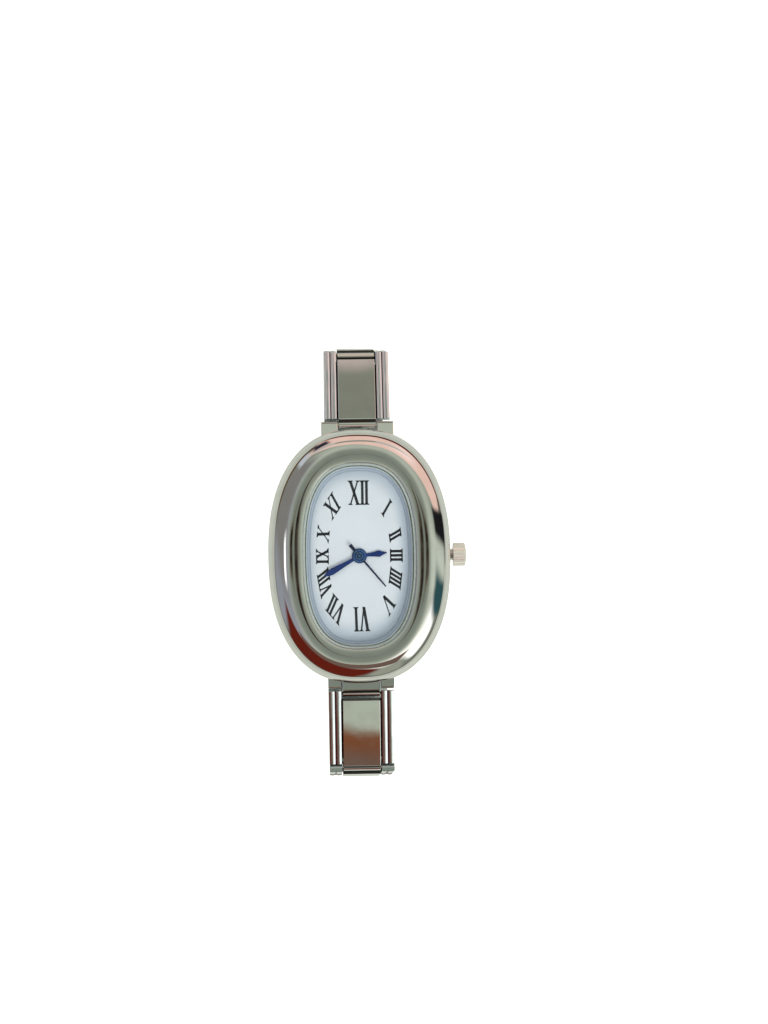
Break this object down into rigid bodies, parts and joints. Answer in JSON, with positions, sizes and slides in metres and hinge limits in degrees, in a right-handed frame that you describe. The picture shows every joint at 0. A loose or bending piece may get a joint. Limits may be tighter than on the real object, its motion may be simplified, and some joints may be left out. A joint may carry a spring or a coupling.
{
  "type": "oval wristwatch",
  "caption": "Oval wristwatch with a fluted crown, three hands under domed glass, and a closed bracelet of pinned links with raised centre plates.",
  "frame": {"origin": "centre of the case back's outer flat face, on the hands' axis", "axes": "+Z out of the dial, +Y to 12 o'clock, +X to 3 o'clock and the crown"},
  "size_m": [0.0273, 0.0614, 0.048],
  "materials": {
    "polished_steel": "polished",
    "link_steel": "polished",
    "black_rubber": "matt",
    "clear_glass": "clear",
    "pale_gasket": "smooth",
    "grey_ring": "satin",
    "white_dial": "matt",
    "white_plastic": "matt",
    "movement_brass": "satin",
    "iron": "satin",
    "copper_coil": "wound",
    "green_board": "satin",
    "spring_steel": "satin",
    "bright_can": "satin",
    "blue_hands": "gloss",
    "navy_hand": "gloss"
  },
  "bodies": {
    "head": {"case_shell": "polished_steel", "case_back": "polished_steel", "back_gasket": "black_rubber", "crystal": "clear_glass", "crystal_gasket": "pale_gasket", "dial_ring": "grey_ring", "dial": "white_dial", "movement_holder": "white_plastic", "main_plate": "movement_brass", "train_bridge": "movement_brass", "bridge_screws": "polished_steel", "coil_core": "iron", "coil": "copper_coil", "stator": "iron", "circuit_board": "green_board", "quartz_can": "bright_can", "battery_cell": "bright_can", "battery_clip": "spring_steel", "crown_tube": "polished_steel"},
    "crown_slider": {"crown_gasket": "black_rubber"},
    "crown_and_stem": {"crown": "polished_steel", "stem": "polished_steel"},
    "setting_lever": {"setting_lever": "polished_steel"},
    "rotor": {"rotor": "movement_brass"},
    "intermediate": {"intermediate_wheel": "movement_brass"},
    "seconds": {"seconds_wheel": "movement_brass", "second_hand": "navy_hand"},
    "third": {"third_wheel": "movement_brass"},
    "minutes": {"centre_wheel": "movement_brass", "minute_hand": "blue_hands"},
    "minute_work": {"minute_wheel": "movement_brass"},
    "hours": {"hour_wheel": "movement_brass", "hour_hand": "blue_hands"},
    "upper_link_1": {"upper_link_1_frame": "link_steel", "upper_link_1_plate": "link_steel"},
    "upper_link_2": {"upper_link_2_frame": "link_steel", "upper_link_2_plate": "link_steel"},
    "upper_link_3": {"upper_link_3_frame": "link_steel", "upper_link_3_plate": "link_steel"},
    "upper_link_4": {"upper_link_4_frame": "link_steel", "upper_link_4_plate": "link_steel"},
    "upper_link_5": {"upper_link_5_frame": "link_steel", "upper_link_5_plate": "link_steel"},
    "upper_link_6": {"upper_link_6_frame": "link_steel", "upper_link_6_plate": "link_steel"},
    "upper_link_7": {"upper_link_7_frame": "link_steel", "upper_link_7_plate": "link_steel"},
    "lower_link_1": {"lower_link_1_frame": "link_steel", "lower_link_1_plate": "link_steel"},
    "lower_link_2": {"lower_link_2_frame": "link_steel", "lower_link_2_plate": "link_steel"},
    "lower_link_3": {"lower_link_3_frame": "link_steel", "lower_link_3_plate": "link_steel"},
    "lower_link_4": {"lower_link_4_frame": "link_steel", "lower_link_4_plate": "link_steel"},
    "lower_link_5": {"lower_link_5_frame": "link_steel", "lower_link_5_plate": "link_steel"},
    "lower_link_6": {"lower_link_6_frame": "link_steel", "lower_link_6_plate": "link_steel"}
  },
  "joints": [
    {"name": "upper_link_1_hinge", "type": "hinge", "parent": "head", "child": "upper_link_1", "pos_m": [0, 0.01815, 0.0026], "axis": [1, 0, 0], "range_deg": [0, 22.01]},
    {"name": "upper_link_2_hinge", "type": "hinge", "parent": "upper_link_1", "child": "upper_link_2", "pos_m": [0, 0.02789, -0.00133], "axis": [1, 0, 0], "range_deg": [0, 62.01]},
    {"name": "upper_link_3_hinge", "type": "hinge", "parent": "upper_link_2", "child": "upper_link_3", "pos_m": [0, 0.02898, -0.01178], "axis": [1, 0, 0], "range_deg": [0, 11.29]},
    {"name": "upper_link_4_hinge", "type": "hinge", "parent": "upper_link_3", "child": "upper_link_4", "pos_m": [0, 0.02802, -0.02223], "axis": [1, 0, 0], "range_deg": [0, 23.95]},
    {"name": "upper_link_5_hinge", "type": "hinge", "parent": "upper_link_4", "child": "upper_link_5", "pos_m": [0, 0.02289, -0.03139], "axis": [1, 0, 0], "range_deg": [0, 23.95]},
    {"name": "upper_link_6_hinge", "type": "hinge", "parent": "upper_link_5", "child": "upper_link_6", "pos_m": [0, 0.01449, -0.03769], "axis": [1, 0, 0], "range_deg": [0, 23.95]},
    {"name": "upper_link_7_hinge", "type": "hinge", "parent": "upper_link_6", "child": "upper_link_7", "pos_m": [0, 0.00425, -0.04003], "axis": [1, 0, 0], "range_deg": [0, 12.89]},
    {"name": "lower_link_1_hinge", "type": "hinge", "parent": "head", "child": "lower_link_1", "pos_m": [0, -0.0189, 0.0026], "axis": [-1, 0, 0], "range_deg": [0, 8.01]},
    {"name": "lower_link_2_hinge", "type": "hinge", "parent": "lower_link_1", "child": "lower_link_2", "pos_m": [0, -0.0293, 0.00114], "axis": [-1, 0, 0], "range_deg": [0, 74.01]},
    {"name": "lower_link_3_hinge", "type": "hinge", "parent": "lower_link_2", "child": "lower_link_3", "pos_m": [0, -0.03076, -0.00926], "axis": [-1, 0, 0], "range_deg": [0, 18.94]},
    {"name": "lower_link_4_hinge", "type": "hinge", "parent": "lower_link_3", "child": "lower_link_4", "pos_m": [0, -0.02877, -0.01957], "axis": [-1, 0, 0], "range_deg": [0, 18.41]},
    {"name": "lower_link_5_hinge", "type": "hinge", "parent": "lower_link_4", "child": "lower_link_5", "pos_m": [0, -0.02362, -0.02872], "axis": [-1, 0, 0], "range_deg": [0, 18.41]},
    {"name": "lower_link_6_hinge", "type": "hinge", "parent": "lower_link_5", "child": "lower_link_6", "pos_m": [0, -0.01585, -0.03578], "axis": [-1, 0, 0], "range_deg": [0, 18.41]},
    {"name": "crown_pull", "type": "slide", "parent": "head", "child": "crown_slider", "axis": [1, 0, 0], "range_m": [0, 0.0006]},
    {"name": "crown_turn", "type": "hinge", "parent": "crown_slider", "child": "crown_and_stem", "pos_m": [0.0125, 0, 0.0026], "axis": [1, 0, 0], "continuous": true},
    {"name": "lever_swing", "type": "hinge", "parent": "head", "child": "setting_lever", "pos_m": [0.00605, 0.003, 0.0026], "axis": [0, 0, 1], "range_deg": [0, 13.3]},
    {"name": "seconds_turn", "type": "hinge", "parent": "head", "child": "seconds", "pos_m": [0, 0, 0.003], "axis": [0, 0, -1], "continuous": true},
    {"name": "rotor_turn", "type": "hinge", "parent": "head", "child": "rotor", "pos_m": [-0.00355, -0.00345, 0.003], "axis": [0, 0, -1], "continuous": true},
    {"name": "intermediate_turn", "type": "hinge", "parent": "head", "child": "intermediate", "pos_m": [-0.00158, -0.00273, 0.003], "axis": [0, 0, -1], "continuous": true},
    {"name": "third_turn", "type": "hinge", "parent": "head", "child": "third", "pos_m": [0.00155, 0.00268, 0.003], "axis": [0, 0, -1], "continuous": true},
    {"name": "minutes_turn", "type": "hinge", "parent": "head", "child": "minutes", "pos_m": [0, 0, 0.003], "axis": [0, 0, -1], "continuous": true},
    {"name": "minute_work_turn", "type": "hinge", "parent": "head", "child": "minute_work", "pos_m": [-0.00226, -0.00082, 0.003], "axis": [0, 0, -1], "continuous": true},
    {"name": "hours_turn", "type": "hinge", "parent": "head", "child": "hours", "pos_m": [0, 0, 0.003], "axis": [0, 0, -1], "continuous": true}
  ],
  "couplings": [
    {"joint": "upper_link_1_hinge", "follows": "upper_link_2_hinge", "ratio": 0.35484},
    {"joint": "upper_link_3_hinge", "follows": "upper_link_2_hinge", "ratio": 0.18194},
    {"joint": "upper_link_4_hinge", "follows": "upper_link_2_hinge", "ratio": 0.38621},
    {"joint": "upper_link_5_hinge", "follows": "upper_link_2_hinge", "ratio": 0.38621},
    {"joint": "upper_link_6_hinge", "follows": "upper_link_2_hinge", "ratio": 0.38621},
    {"joint": "upper_link_7_hinge", "follows": "upper_link_2_hinge", "ratio": 0.20781},
    {"joint": "lower_link_1_hinge", "follows": "lower_link_2_hinge", "ratio": 0.10811},
    {"joint": "lower_link_3_hinge", "follows": "lower_link_2_hinge", "ratio": 0.25582},
    {"joint": "lower_link_4_hinge", "follows": "lower_link_2_hinge", "ratio": 0.24871},
    {"joint": "lower_link_5_hinge", "follows": "lower_link_2_hinge", "ratio": 0.24871},
    {"joint": "lower_link_6_hinge", "follows": "lower_link_2_hinge", "ratio": 0.24871},
    {"joint": "lever_swing", "follows": "crown_pull", "rad_per_m": 384.62},
    {"joint": "rotor_turn", "follows": "seconds_turn", "ratio": 30},
    {"joint": "intermediate_turn", "follows": "seconds_turn", "ratio": -5},
    {"joint": "third_turn", "follows": "seconds_turn", "ratio": -0.125},
    {"joint": "minutes_turn", "follows": "seconds_turn", "ratio": 0.016667},
    {"joint": "minute_work_turn", "follows": "seconds_turn", "ratio": -0.0055556},
    {"joint": "hours_turn", "follows": "seconds_turn", "ratio": 0.0013889}
  ]
}
